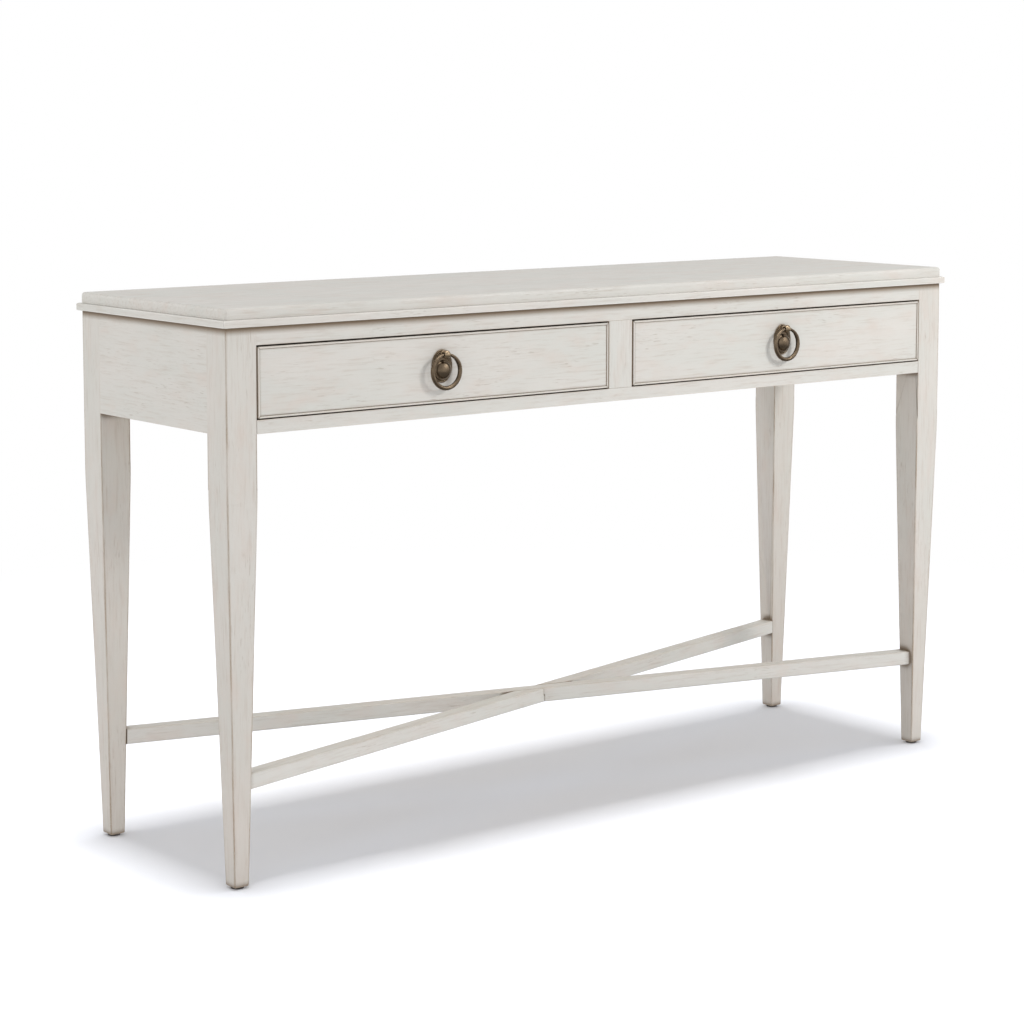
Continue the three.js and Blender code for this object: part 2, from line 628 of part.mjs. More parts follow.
// An oval plate with stepped round ribs inside its rim, and a dome low on its face
function pullPlate(name) {
  const rings = [ovalRing(PLATE_HALF_WIDTH, PLATE_HALF_HEIGHT, 0)];
  const steps = 4;
  for (let rib = 0; rib < RIB_COUNT; rib++) {
    for (let i = 0; i <= steps; i++) {
      const angle = (i / steps) * RIB_ARC;
      const inset = RIB_PITCH * (rib + (1 - Math.cos(angle)) / 2);
      const depth = RIB_RISE * rib + RIB_HEIGHT * (RIB_FOOT + (1 - RIB_FOOT) * Math.sin(angle));
      rings.push(ovalRing(PLATE_HALF_WIDTH - inset, PLATE_HALF_HEIGHT - inset, depth));
    }
  }
  const dome = new THREE.SphereGeometry(1, 28, 18);
  dome.scale(DOME_HALF_WIDTH, DOME_RISE, DOME_HALF_HEIGHT).translate(0, 0, -DOME_DROP);
  const half = PLATE_HALF_HEIGHT + OVERCUT;
  const behind = block([-half, half], [0, 2 * DOME_RISE], [-half, half]);
  const hole = rod(POST_RADIUS + CUT_GAP, -OVERCUT, 2 * DOME_RISE);
  hole.rotateX(Math.PI / 2).translate(0, 0, POST_RISE);
  return piece(name, 'brass', cut(join(loft(rings), cut(dome, behind)), hole), [0, FACE_Y, PLATE_LEVEL]);
}

// The post: shaft through the drawer front, round collar, waist, and a ball bored across for the ring
function pullPost(name) {
  const profile = [[0, -POST_INSIDE], [POST_RADIUS, -POST_INSIDE], [POST_RADIUS, COLLAR_BASE]];
  const round = COLLAR_HEIGHT / 2;
  const collarSteps = 4;
  for (let i = 0; i <= collarSteps; i++) {
    const angle = Math.PI * i / collarSteps;
    const depth = COLLAR_BASE + round * (1 - Math.cos(angle));
    profile.push([COLLAR_RADIUS - round * (1 - Math.sin(angle)), depth]);
  }
  const steps = 8;
  for (let i = 0; i < steps; i++) {
    const angle = WAIST_ANGLE + (Math.PI - WAIST_ANGLE) * i / steps;
    profile.push([BALL_RADIUS * Math.sin(angle), BALL_STANDOFF - BALL_RADIUS * Math.cos(angle)]);
  }
  profile.push([0, BALL_STANDOFF + BALL_RADIUS]);
  const bore = rod(BALL_HOLE_RADIUS, -2 * BALL_RADIUS, 2 * BALL_RADIUS).rotateY(Math.PI / 2);
  bore.translate(0, 0, BALL_STANDOFF);
  const geometry = cut(turned(profile, 20), bore).rotateX(Math.PI / 2);
  return piece(name, 'brass', geometry, [0, FACE_Y, POST_LEVEL]);
}

// The ring hangs from its own origin, in the middle of the ball; its wire is thinner at the top
function pullRing(name) {
  const [around, section] = [40, 12];
  const positions = [];
  const faces = [];
  for (let i = 0; i < around; i++) {
    const angle = (i / around) * 2 * Math.PI;
    const fromTop = Math.min(angle, 2 * Math.PI - angle);
    const swell = THREE.MathUtils.smoothstep(fromTop, RING_SWELL_START, RING_SWELL_END);
    const wire = RING_WIRE_TOP + (RING_WIRE_BOTTOM - RING_WIRE_TOP) * swell;
    for (let j = 0; j < section; j++) {
      const turn = (j / section) * 2 * Math.PI;
      const radius = RING_RADIUS + wire * Math.cos(turn);
      const [x, z] = [radius * Math.sin(angle), radius * Math.cos(angle) - RING_RADIUS];
      positions.push(x, wire * Math.sin(turn), z);
      const [a, b] = [i * section + j, i * section + (j + 1) % section];
      const [c, d] = [a, b].map((index) => (index + section) % (around * section));
      faces.push(a, d, b, a, c, d);
    }
  }
  const geometry = new THREE.BufferGeometry();
  geometry.setAttribute('position', new THREE.Float32BufferAttribute(positions, 3));
  geometry.setIndex(faces);
  return piece(name, 'brass', geometry, [0, FACE_Y - BALL_STANDOFF, POST_LEVEL]);
}

function pullNut(name) {
  const bore = rod(POST_RADIUS + CUT_GAP, -OVERCUT, 2 * NUT_HEIGHT);
  const nut = cut(rod(NUT_RADIUS, PLAY, PLAY + NUT_HEIGHT, 6), bore);
  return piece(name, 'steel', nut.rotateX(-Math.PI / 2), [0, FRONT_BACK_Y, POST_LEVEL]);
}

function pull(side) {
  const group = new THREE.Group();
  group.add(pullPlate(`pull_${side}_plate`), pullPost(`pull_${side}_post`));
  group.add(pullRing(`pull_${side}_ring`), pullNut(`pull_${side}_nut`));
  return group;
}

// ---- The table ----------------------------------------------------------------------------------

const table = new THREE.Group();
table.position.set(0, CENTRING_Y, 0);
table.add(topPanel(), ...mouldings());
CORNERS.forEach(([sx, sy, name]) => table.add(leg(sx, sy, name), glide(sx, sy, name), screw(sx, sy, name)));
table.add(sideApron(-1, 'left'), sideApron(1, 'right'), backApron());
table.add(frontRail('top', TOP_RAIL), frontRail('bottom', BOTTOM_RAIL), frontStile());
table.add(sideRunner(-1, 'left'), centreRunner(), sideRunner(1, 'right'), ...kickers());
table.add(...stretchers());
table.add(drawer('left', -1), drawer('right', 1));

export default table;
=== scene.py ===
"""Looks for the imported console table: painted and glazed wood, antique brass ring pulls, light and camera.

Everything is in metres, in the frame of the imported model: +X along the table, -Y its front, +Z up.
"""

import json
import math

import bmesh
import bpy
from mathutils import Matrix, Vector

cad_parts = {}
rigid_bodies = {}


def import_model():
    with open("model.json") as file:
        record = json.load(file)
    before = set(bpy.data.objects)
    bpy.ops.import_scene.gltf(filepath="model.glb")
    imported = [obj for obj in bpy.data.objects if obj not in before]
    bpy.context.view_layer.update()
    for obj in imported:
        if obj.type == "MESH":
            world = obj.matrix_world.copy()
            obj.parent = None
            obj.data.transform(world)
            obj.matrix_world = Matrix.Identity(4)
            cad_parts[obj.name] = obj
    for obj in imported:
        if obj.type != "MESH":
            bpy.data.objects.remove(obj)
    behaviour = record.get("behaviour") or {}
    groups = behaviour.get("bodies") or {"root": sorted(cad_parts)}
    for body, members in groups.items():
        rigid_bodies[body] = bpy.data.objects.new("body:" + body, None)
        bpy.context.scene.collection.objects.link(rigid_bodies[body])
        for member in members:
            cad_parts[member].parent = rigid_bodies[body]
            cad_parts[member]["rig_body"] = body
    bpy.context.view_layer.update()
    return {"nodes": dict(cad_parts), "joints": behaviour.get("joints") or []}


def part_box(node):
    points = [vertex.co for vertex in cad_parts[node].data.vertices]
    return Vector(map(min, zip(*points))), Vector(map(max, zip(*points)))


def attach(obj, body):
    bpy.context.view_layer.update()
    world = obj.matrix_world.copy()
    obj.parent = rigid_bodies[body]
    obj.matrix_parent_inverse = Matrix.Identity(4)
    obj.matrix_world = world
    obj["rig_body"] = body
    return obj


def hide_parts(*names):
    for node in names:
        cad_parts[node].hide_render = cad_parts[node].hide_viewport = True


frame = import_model()
nodes = frame["nodes"]

MM = 0.001
ALONG_X = Vector((1, 0, 0))
ALONG_Y = Vector((0, 1, 0))
ALONG_Z = Vector((0, 0, 1))
SIDES = ("left", "right")
CORNERS = ("front_left", "front_right", "back_left", "back_right")


# ---------------------------------------------------------------- node trees

def paint(red, green, blue):
    """An 8-bit sRGB colour as the linear RGBA that shader sockets take."""
    channels = [value / 255 for value in (red, green, blue)]
    linear = [c / 12.92 if c <= 0.04045 else ((c + 0.055) / 1.055) ** 2.4 for c in channels]
    return (*linear, 1.0)


class Tree:
    """A node tree under construction: each call adds one node and links or sets what feeds it."""

    def __init__(self, tree):
        self.tree = tree

    def feed(self, socket, value):
        if isinstance(value, bpy.types.NodeSocket):
            self.tree.links.new(value, socket)
        else:
            socket.default_value = value

    def node(self, kind, inputs=(), **settings):
        made = self.tree.nodes.new(kind)
        for name, value in settings.items():
            setattr(made, name, value)
        for key, value in dict(inputs).items():
            self.feed(made.inputs[key], value)
        return made

    def math(self, operation, first, second=0.0):
        return self.node("ShaderNodeMath", {0: first, 1: second}, operation=operation).outputs[0]

    def vector(self, operation, first, second=(0, 0, 0)):
        made = self.node("ShaderNodeVectorMath", {0: first, 1: second}, operation=operation)
        return made.outputs["Vector"]

    def dot(self, first, second):
        made = self.node("ShaderNodeVectorMath", {0: first, 1: second}, operation="DOT_PRODUCT")
        return made.outputs["Value"]

    def scaled(self, vector, factor):
        made = self.node("ShaderNodeVectorMath", {"Vector": vector, "Scale": factor}, operation="SCALE")
        return made.outputs["Vector"]

    def length(self, vector):
        return self.node("ShaderNodeVectorMath", {0: vector}, operation="LENGTH").outputs["Value"]

    def axes(self, vector):
        return self.node("ShaderNodeSeparateXYZ", {0: vector}).outputs


class Shader(Tree):
    """A material's nodes, around its Principled shader."""

    def __init__(self, name):
        self.material = bpy.data.materials.new(name)
        self.material.use_nodes = True
        super().__init__(self.material.node_tree)
        self.surface = self.tree.nodes["Principled BSDF"]

    def place(self):
        """Where a point is on the object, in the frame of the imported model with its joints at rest."""
        return self.node("ShaderNodeTexCoord").outputs["Object"]

    def noise(self, place, board, scale, detail=2.0, roughness=0.5):
        inputs = {"Vector": place, "W": board, "Scale": scale, "Detail": detail, "Roughness": roughness}
        return self.node("ShaderNodeTexNoise", inputs, noise_dimensions="4D").outputs["Fac"]

    def step(self, value, low, high, start=0.0, end=1.0):
        """value from low to high, eased into start to end."""
        inputs = {"Value": value, "From Min": low, "From Max": high, "To Min": start, "To Max": end}
        made = self.node("ShaderNodeMapRange", inputs, interpolation_type="SMOOTHSTEP")
        return made.outputs["Result"]

    def mix(self, factor, first, second):
        """The first colour turned into the second by factor."""
        made = self.node("ShaderNodeMix", data_type="RGBA")
        colours = [socket for socket in made.inputs if socket.type == "RGBA"]
        self.feed(made.inputs["Factor"], factor)
        self.feed(colours[0], first)
        self.feed(colours[1], second)
        return next(socket for socket in made.outputs if socket.type == "RGBA")

    def finish(self, colour, roughness, height, relief, **uniform):
        """Links the patterns and sets the values that are the same all over the surface."""
        bump = self.node("ShaderNodeBump", {"Height": height, "Distance": relief, "Strength": 1.0})
        self.feed(self.surface.inputs["Base Color"], colour)
        self.feed(self.surface.inputs["Roughness"], roughness)
        self.feed(self.surface.inputs["Normal"], bump.outputs["Normal"])
        for name, value in uniform.items():
            self.surface.inputs[name.replace("_", " ")].default_value = value
        return self.material


def drawn_out(shader, grain, ratio):
    """The place on the board, squeezed along the grain by ratio, so that noise turns into streaks."""
    place = shader.place()
    run = shader.dot(place, grain)
    pulled = shader.scaled(tuple(grain), shader.math("MULTIPLY", run, 1 - ratio))
    return shader.vector("SUBTRACT", place, pulled)


def board_number(shader):
    """A number of its own for each board, so that no two show the same grain."""
    made = shader.node("ShaderNodeAttribute", attribute_type="OBJECT", attribute_name="board")
    return made.outputs["Fac"]


def arris(shader, radius, grain=None):
    """How near a point is to an edge. With a grain, the edges across it, where boards meet, are left out."""
    rounded = shader.node("ShaderNodeBevel", {"Radius": radius}, samples=6).outputs["Normal"]
    turned_by = shader.vector("SUBTRACT", rounded, shader.node("ShaderNodeNewGeometry").outputs["Normal"])
    if grain is not None:
        lengthwise = shader.scaled(tuple(grain), shader.dot(turned_by, grain))
        turned_by = shader.vector("SUBTRACT", turned_by, lengthwise)
    return shader.length(turned_by)


LEG_LOW, LEG_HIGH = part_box("leg_front_right")
LEG_BACK_LOW, LEG_BACK_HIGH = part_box("leg_back_right")
LEG_X = (LEG_LOW.x + LEG_HIGH.x) / 2
FRAME_MIDDLE_Y = (LEG_LOW.y + LEG_BACK_HIGH.y) / 2
LEG_Y = (LEG_BACK_LOW.y + LEG_BACK_HIGH.y) / 2 - FRAME_MIDDLE_Y
APRON_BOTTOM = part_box("apron_left")[0].z
MOULDING_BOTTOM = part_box("moulding_front")[0].z


def free_of_aprons(tree, place):
    """1 below the aprons and at a leg's outer corner, 0 where a rail or apron comes flush against it."""
    x, y, z = tree.axes(place)
    outer_x = tree.math("GREATER_THAN", tree.math("ABSOLUTE", x), LEG_X)
    from_middle = tree.math("ABSOLUTE", tree.math("SUBTRACT", y, FRAME_MIDDLE_Y))
    outer_y = tree.math("GREATER_THAN", from_middle, LEG_Y)
    below = tree.math("LESS_THAN", z, APRON_BOTTOM)
    return tree.math("MAXIMUM", tree.math("MULTIPLY", outer_x, outer_y), below)


# ---------------------------------------------------------------- materials

WHITE_PAINT = paint(199, 195, 189)
PINK_WASH = paint(196, 187, 179)
GREEN_WASH = paint(194, 193, 187)
GRAIN_SHADE = paint(172, 160, 148)
FLECK = paint(140, 124, 108)
GLAZE = paint(142, 124, 103)
# Painted shade, brown like the glaze: in corners, darkest in narrow gaps, lighter in the gaps beside upright
# pieces.
CORNER_GLAZE_AND_SHADE = paint(118, 101, 82)
GAP_GLAZE_AND_SHADE = paint(52, 39, 29)
SIDE_GAP_GLAZE_AND_SHADE = paint(205, 186, 164)
# Painted shade with brown glaze: the legs turn darker and warmer toward the foot.
TOE_GLAZE_AND_SHADE = paint(170, 143, 122)
# Pale edge colours as painted highlights: the first partly rubbed paint, the second highlight alone.
RUBBED_EDGE_HIGHLIGHT = paint(214, 203, 188)
EDGE_HIGHLIGHT = paint(240, 237, 232)

BRUSH_RELIEF = 0.12 * MM
EDGE_REACH = 2 * MM
LEG_EDGE_REACH = 3.2 * MM
EDGE_FULL = 0.45
LEG_EDGE_FULL = 0.25
# How far below the moulding the painted shade reaches.
GLAZE_AND_SHADE_BELOW_MOULDING = 12 * MM
TOE_LEVELS = (0.06, 0.5)
TOE_STRENGTHS = (0.19, 0.06)


def brushed_wash(s, grain, board):
    """Three tints of white over open grain: the colour, the roughness and the height of the brushwork."""
    wash = s.noise(drawn_out(s, grain, 0.3), board, 13, 4.0, 0.6)
    cloud = s.noise(drawn_out(s, grain, 0.4), board, 40, 3.0, 0.6)
    streak = s.noise(drawn_out(s, grain, 0.06), board, 300, 4.0, 0.65)
    dash = s.noise(drawn_out(s, grain, 0.085), board, 640, 2.0, 0.5)
    pore = s.noise(drawn_out(s, grain, 0.06), board, 2000, 2.0)
    patches = s.step(s.noise(drawn_out(s, grain, 0.5), board, 24, 2.0), 0.48, 0.66)
    flecks = s.math("MULTIPLY", s.step(dash, 0.58, 0.7), patches)

    colour = s.mix(s.step(wash, 0.3, 0.7), GREEN_WASH, WHITE_PAINT)
    colour = s.mix(s.step(cloud, 0.45, 0.85), colour, PINK_WASH)
    colour = s.mix(s.step(streak, 0.47, 0.82, 0.0, 0.62), colour, GRAIN_SHADE)
    colour = s.mix(s.math("MULTIPLY", flecks, 0.45), colour, FLECK)
    colour = s.mix(s.step(pore, 0.55, 0.85, 0.0, 0.25), colour, GRAIN_SHADE)

    height = s.math("SUBTRACT", s.math("MULTIPLY", cloud, 0.5), s.math("MULTIPLY", streak, 0.5))
    height = s.math("SUBTRACT", height, s.math("MULTIPLY", s.step(dash, 0.59, 0.72), 0.3))
    height = s.math("SUBTRACT", height, s.math("MULTIPLY", pore, 0.15))
    return colour, s.step(streak, 0.35, 0.75, 0.42, 0.56), height


def edge_wear_and_highlight(s, grain, board, edge_strength, all_edges, leg):
    """How strongly the edge colour shows at the edges, broken up along them: worn paint with the glaze
    colour, a painted highlight with the pale colours.
    """
    reach = LEG_EDGE_REACH if leg else EDGE_REACH
    full = LEG_EDGE_FULL if leg else EDGE_FULL
    edge = s.step(arris(s, reach, None if all_edges else grain), 0.03, full, 0.0, edge_strength)
    broken = s.step(s.noise(drawn_out(s, grain, 0.12), board, 90, 3.0), 0.36, 0.62, 0.35, 1.0)
    edge_mark = s.math("MULTIPLY", edge, broken)
    if leg:
        edge_mark = s.math("MULTIPLY", edge_mark, free_of_aprons(s, s.place()))
    return edge_mark


def glaze_and_shade_in_corners(s, colour, reach, gap_glaze_and_shade):
    """Painted shade in the brown of the glaze: darker in the corners, darkest in narrow gaps, and in a band
    under the moulding.
    """
    # Painted shade: ambient occlusion darkens corners, and narrow gaps most of all.
    corner = s.node("ShaderNodeAmbientOcclusion", {"Distance": reach}, samples=8).outputs["AO"]
    colour = s.mix(s.step(corner, 0.66, 1.0, 0.88, 0.0), colour, CORNER_GLAZE_AND_SHADE)
    colour = s.mix(s.step(corner, 0.15, 0.5, 0.95, 0.0), colour, gap_glaze_and_shade)
    # Painted shade in a band just below the moulding.
    level = s.axes(s.place())[2]
    moulding_shade = s.step(level, MOULDING_BOTTOM - GLAZE_AND_SHADE_BELOW_MOULDING, MOULDING_BOTTOM)
    return s.mix(moulding_shade, colour, CORNER_GLAZE_AND_SHADE)


def painted_wood(name, grain, edge_colour, edge_strength, all_edges=False, glaze_and_shade_reach=0.0, leg=False, gap_glaze_and_shade=GAP_GLAZE_AND_SHADE):
    """White wash, its edges turned to edge_colour (worn paint with the glaze colour, a painted highlight with
    the pale colours), with brown glaze and painted shade within glaze_and_shade_reach of its corners.
    """
    s = Shader(name)
    board = board_number(s)
    colour, roughness, height = brushed_wash(s, grain, board)
    # Painted shade with brown glaze, darker and warmer toward the foot.
    if leg:
        toe = s.step(s.axes(s.place())[2], *TOE_LEVELS, *TOE_STRENGTHS)
        colour = s.mix(toe, colour, TOE_GLAZE_AND_SHADE)
    # Edges take the edge colour: worn paint with the glaze colour, a painted highlight with the pale colours.
    colour = s.mix(edge_wear_and_highlight(s, grain, board, edge_strength, all_edges, leg), colour, edge_colour)
    # Painted shade and glaze in corners and gaps.
    if glaze_and_shade_reach:
        colour = glaze_and_shade_in_corners(s, colour, glaze_and_shade_reach, gap_glaze_and_shade)
    return s.finish(colour, roughness, height, BRUSH_RELIEF, Specular_IOR_Level=0.25)


def bare_wood(name, grain, pale, dark, figure):
    """Unpainted wood: growth rings drawn out along the board, as strong as figure, with fine pores."""
    s = Shader(name)
    board = board_number(s)
    sweep = s.noise(drawn_out(s, grain, 0.05), board, 16, 2.0)
    rings = s.math("SINE", s.math("MULTIPLY", sweep, 150.0))
    fibre = s.noise(drawn_out(s, grain, 0.03), board, 900, 3.0, 0.6)
    cloudy = s.noise(drawn_out(s, grain, 0.3), board, 9, 3.0)
    colour = s.mix(s.step(rings, -0.4, 1.0, 0.0, figure), pale, dark)
    colour = s.mix(s.step(cloudy, 0.35, 0.75, 0.0, 0.3), colour, dark)
    colour = s.mix(s.step(fibre, 0.45, 0.8, 0.0, 0.35), colour, dark)
    edge = s.step(arris(s, 2 * MM), 0.1, 0.8, 0.0, 0.35)
    colour = s.mix(edge, colour, dark)
    roughness = s.step(fibre, 0.3, 0.8, 0.55, 0.75)
    return s.finish(colour, roughness, s.math("SUBTRACT", s.math("MULTIPLY", rings, 0.2), fibre), 0.12 * MM)


def antique_brass(name, dark, light):
    """Cast brass, darkened all over and rubbed bright again where hands and cloths reach."""
    s = Shader(name)
    place = s.place()
    board = board_number(s)
    tarnish = s.noise(place, board, 120, 3.0, 0.5)
    specks = s.noise(place, board, 1300, 2.0)
    hollow = s.node("ShaderNodeAmbientOcclusion", {"Distance": 3 * MM}, samples=8, only_local=True)
    rubbed = s.step(arris(s, 1.2 * MM), 0.05, 0.6)
    colour = s.mix(s.step(tarnish, 0.3, 0.7), dark, light)
    colour = s.mix(s.math("MULTIPLY", rubbed, 0.5), colour, paint(150, 131, 105))
    colour = s.mix(s.step(specks, 0.62, 0.8, 0.0, 0.3), colour, paint(50, 41, 32))
    colour = s.mix(s.step(hollow.outputs["AO"], 0.2, 0.8, 0.85, 0.0), colour, paint(26, 20, 15))
    roughness = s.step(tarnish, 0.3, 0.7, 0.3, 0.2)
    height = s.math("ADD", s.math("MULTIPLY", tarnish, 0.5), s.math("MULTIPLY", specks, 0.15))
    return s.finish(colour, roughness, height, 0.03 * MM, Metallic=1.0)


def screw_steel(name):
    """Bright zinc-plated steel with faint turning marks and dull patches."""
    s = Shader(name)
    place = s.place()
    board = board_number(s)
    dull = s.noise(place, board, 420, 3.0)
    marks = s.noise(drawn_out(s, ALONG_Z, 6.0), board, 900, 2.0)
    colour = s.mix(s.step(dull, 0.35, 0.65), paint(150, 150, 146), paint(190, 188, 180))
    edge = s.step(arris(s, 0.5 * MM), 0.1, 0.7, 0.0, 0.6)
    colour = s.mix(edge, colour, paint(214, 213, 208))
    roughness = s.step(dull, 0.3, 0.7, 0.45, 0.28)
    return s.finish(colour, roughness, marks, 0.03 * MM, Metallic=1.0)


def glide_plastic(name):
    """Dark nylon, scuffed grey where it slides."""
    s = Shader(name)
    place = s.place()
    board = board_number(s)
    scuffs = s.noise(place, board, 700, 4.0, 0.65)
    cloudy = s.noise(place, board, 90, 2.0)
    colour = s.mix(s.step(cloudy, 0.4, 0.6), paint(58, 54, 50), paint(70, 65, 60))
    colour = s.mix(s.step(scuffs, 0.55, 0.75, 0.0, 0.6), colour, paint(96, 92, 86))
    edge = s.step(arris(s, 1 * MM), 0.1, 0.8, 0.0, 0.5)
    colour = s.mix(edge, colour, paint(110, 105, 98))
    return s.finish(colour, s.step(scuffs, 0.4, 0.7, 0.42, 0.65), scuffs, 0.05 * MM)


def studio_floor(name, near, far):
    """A pale floor with the faintest unevenness, which fades into the white of the backdrop."""
    s = Shader(name)
    place = s.place()
    uneven = s.noise(place, 0.0, 1.5, 3.0)
    colour = s.mix(uneven, paint(230, 232, 238), paint(232, 234, 239))
    s.finish(colour, 0.85, uneven, 0.2 * MM, Specular_IOR_Level=0.0)
    white = s.node("ShaderNodeEmission", {"Color": (1, 1, 1, 1), "Strength": 1.0}).outputs[0]
    fade = s.step(s.length(place), near, far)
    sweep = s.node("ShaderNodeMixShader", {0: fade, 1: s.surface.outputs[0], 2: white}).outputs[0]
    s.feed(s.tree.nodes["Material Output"].inputs["Surface"], sweep)
    return s.material


# ---------------------------------------------------------------- carried-over wood

SOFTEN = {"leg": 1.1, "stretcher": 0.7, "drawer": 0.5, "moulding": 0.8, "top": 0.8}
SOFTEN_OTHERS = 0.7
SHARP = math.radians(40)


def lengthwise_edges(name, grain, leg=False):
    """Geometry nodes that mark the sharp edges along the grain for bevelling, and leave the shoulders."""
    g = Tree(bpy.data.node_groups.new(name, "GeometryNodeTree"))
    g.tree.interface.new_socket("Geometry", in_out="INPUT", socket_type="NodeSocketGeometry")
    g.tree.interface.new_socket("Geometry", in_out="OUTPUT", socket_type="NodeSocketGeometry")
    ends = g.node("GeometryNodeInputMeshEdgeVertices").outputs
    run = g.vector("NORMALIZE", g.vector("SUBTRACT", ends["Position 1"], ends["Position 2"]))
    along = g.math("GREATER_THAN", g.math("ABSOLUTE", g.dot(run, grain)), 0.95)
    bend = g.node("GeometryNodeInputMeshEdgeAngle").outputs["Unsigned Angle"]
    chosen = g.math("MULTIPLY", along, g.math("GREATER_THAN", bend, SHARP))
    if leg:
        middle = g.scaled(g.vector("ADD", ends["Position 1"], ends["Position 2"]), 0.5)
        chosen = g.math("MULTIPLY", chosen, free_of_aprons(g, middle))
    source = g.node("NodeGroupInput").outputs["Geometry"]
    inputs = {"Geometry": source, "Name": "bevel_weight_edge", "Value": chosen}
    marked = g.node("GeometryNodeStoreNamedAttribute", data_type="FLOAT", domain="EDGE")
    for socket in marked.inputs:
        if socket.enabled and socket.name in inputs:
            g.feed(socket, inputs[socket.name])
    g.node("NodeGroupOutput", {"Geometry": marked.outputs["Geometry"]})
    return g.tree


def soften(node, width, marker=None):
    """Rounds the arrises of a CAD board with modifiers; its own mesh stays as it was packed."""
    weld = node.modifiers.new("weld", "WELD")
    weld.merge_threshold = 0.005 * MM
    merge = node.modifiers.new("flat_faces", "DECIMATE")
    merge.decimate_type = "DISSOLVE"
    merge.angle_limit = math.radians(0.2)
    if marker is not None:
        node.modifiers.new("lengthwise", "NODES").node_group = marker
    bevel = node.modifiers.new("arris", "BEVEL")
    bevel.width = width
    bevel.segments = 3
    bevel.limit_method = "ANGLE" if marker is None else "WEIGHT"
    bevel.angle_limit = SHARP
    bevel.use_clamp_overlap = False
    bevel.harden_normals = True


def finish_node(name, material, width, marker):
    """Gives a CAD node its material, its board number and softened edges."""
    node = nodes[name]
    for slot in node.material_slots:
        slot.link = "OBJECT"
        slot.material = material
    node["board"] = board_numbers[name]
    soften(node, width, marker)


board_numbers = {name: 1.7 * order for order, name in enumerate(sorted(nodes))}


def stretcher_run(name, sign):
    """The direction of one crossed bar, worked out from the corners of its box."""
    low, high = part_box(name)
    return Vector((high.x - low.x, sign * (high.y - low.y), 0)).normalized()


RISING = stretcher_run("stretcher_lower", 1)
FALLING = stretcher_run("stretcher_upper", -1)
markers = {
    "x": lengthwise_edges("edges_along_x", ALONG_X),
    "y": lengthwise_edges("edges_along_y", ALONG_Y),
    "z": lengthwise_edges("edges_along_z", ALONG_Z),
    "leg": lengthwise_edges("edges_of_leg", ALONG_Z, leg=True),
}
# How far out of a corner the painted shade reaches, on the frame and on the drawers.
FRAME_GLAZE_AND_SHADE_REACH = 12 * MM
DRAWER_GLAZE_AND_SHADE_REACH = 3.5 * MM


def painted_board(name, grain, edge_strength=0.6, gap_glaze_and_shade=GAP_GLAZE_AND_SHADE):
    """A flush board of the frame, its edges rubbed pale and lit: a painted highlight."""
    return painted_wood(f"painted_wood_{name}", grain, RUBBED_EDGE_HIGHLIGHT, edge_strength, glaze_and_shade_reach=FRAME_GLAZE_AND_SHADE_REACH, gap_glaze_and_shade=gap_glaze_and_shade)


def painted_edging(name, grain):
    """The top and its moulding, with a painted highlight along every edge."""
    return painted_wood(f"painted_wood_{name}", grain, EDGE_HIGHLIGHT, 0.8, all_edges=True)


def painted_bar(name, grain):
    """A bar of the stretcher, with glaze along its edges."""
    return painted_wood(f"painted_wood_{name}", grain, GLAZE, 0.75, glaze_and_shade_reach=FRAME_GLAZE_AND_SHADE_REACH)


def painted_bead(name, grain, gap_glaze_and_shade):
    """The thin bead round a drawer front, its edges rubbed pale and lit: a painted highlight."""
    return painted_wood(f"painted_wood_{name}", grain, RUBBED_EDGE_HIGHLIGHT, 0.8, glaze_and_shade_reach=DRAWER_GLAZE_AND_SHADE_REACH, gap_glaze_and_shade=gap_glaze_and_shade)


painted = {
    "x": painted_board("x", ALONG_X),
    "y": painted_board("y", ALONG_Y),
    "z": painted_board("z", ALONG_Z, 0.5, SIDE_GAP_GLAZE_AND_SHADE),
    "leg": painted_wood(
        "painted_wood_leg", ALONG_Z, GLAZE, 1.0, glaze_and_shade_reach=FRAME_GLAZE_AND_SHADE_REACH, leg=True, gap_glaze_and_shade=SIDE_GAP_GLAZE_AND_SHADE
    ),
    "top": painted_edging("top", ALONG_X),
    "moulding_x": painted_edging("moulding_x", ALONG_X),
    "moulding_y": painted_edging("moulding_y", ALONG_Y),
    "drawer": painted_wood(
        "painted_wood_drawer", ALONG_X, GLAZE, 0.6, all_edges=True, glaze_and_shade_reach=DRAWER_GLAZE_AND_SHADE_REACH
    ),
    "bead_x": painted_bead("bead_x", ALONG_X, GAP_GLAZE_AND_SHADE),
    "bead_z": painted_bead("bead_z", ALONG_Z, SIDE_GAP_GLAZE_AND_SHADE),
    "rising_bar": painted_bar("rising", RISING),
    "falling_bar": painted_bar("falling", FALLING),
}
PALE_WOOD = paint(214, 193, 160)
DARK_WOOD = paint(184, 150, 110)
PALE_PLY = paint(218, 201, 172)
DARK_PLY = paint(196, 172, 138)
WOOD_FIGURE = 0.55
PLY_FIGURE = 0.3
bare = {
    "x": bare_wood("bare_wood_x", ALONG_X, PALE_WOOD, DARK_WOOD, WOOD_FIGURE),
    "y": bare_wood("bare_wood_y", ALONG_Y, PALE_WOOD, DARK_WOOD, WOOD_FIGURE),
    "z": bare_wood("bare_wood_z", ALONG_Z, PALE_WOOD, DARK_WOOD, WOOD_FIGURE),
}
plywood = bare_wood("plywood", ALONG_Y, PALE_PLY, DARK_PLY, PLY_FIGURE)
brass = antique_brass("antique_brass", paint(104, 90, 74), paint(128, 112, 93))
# A lighter copy of the brass for the post and ball: partly polish from handling, partly a painted highlight.
handled_and_highlit_brass = antique_brass("antique_brass_handled", paint(146, 127, 103), paint(172, 152, 126))
steel = screw_steel("screw_steel")
nylon = glide_plastic("glide_plastic")

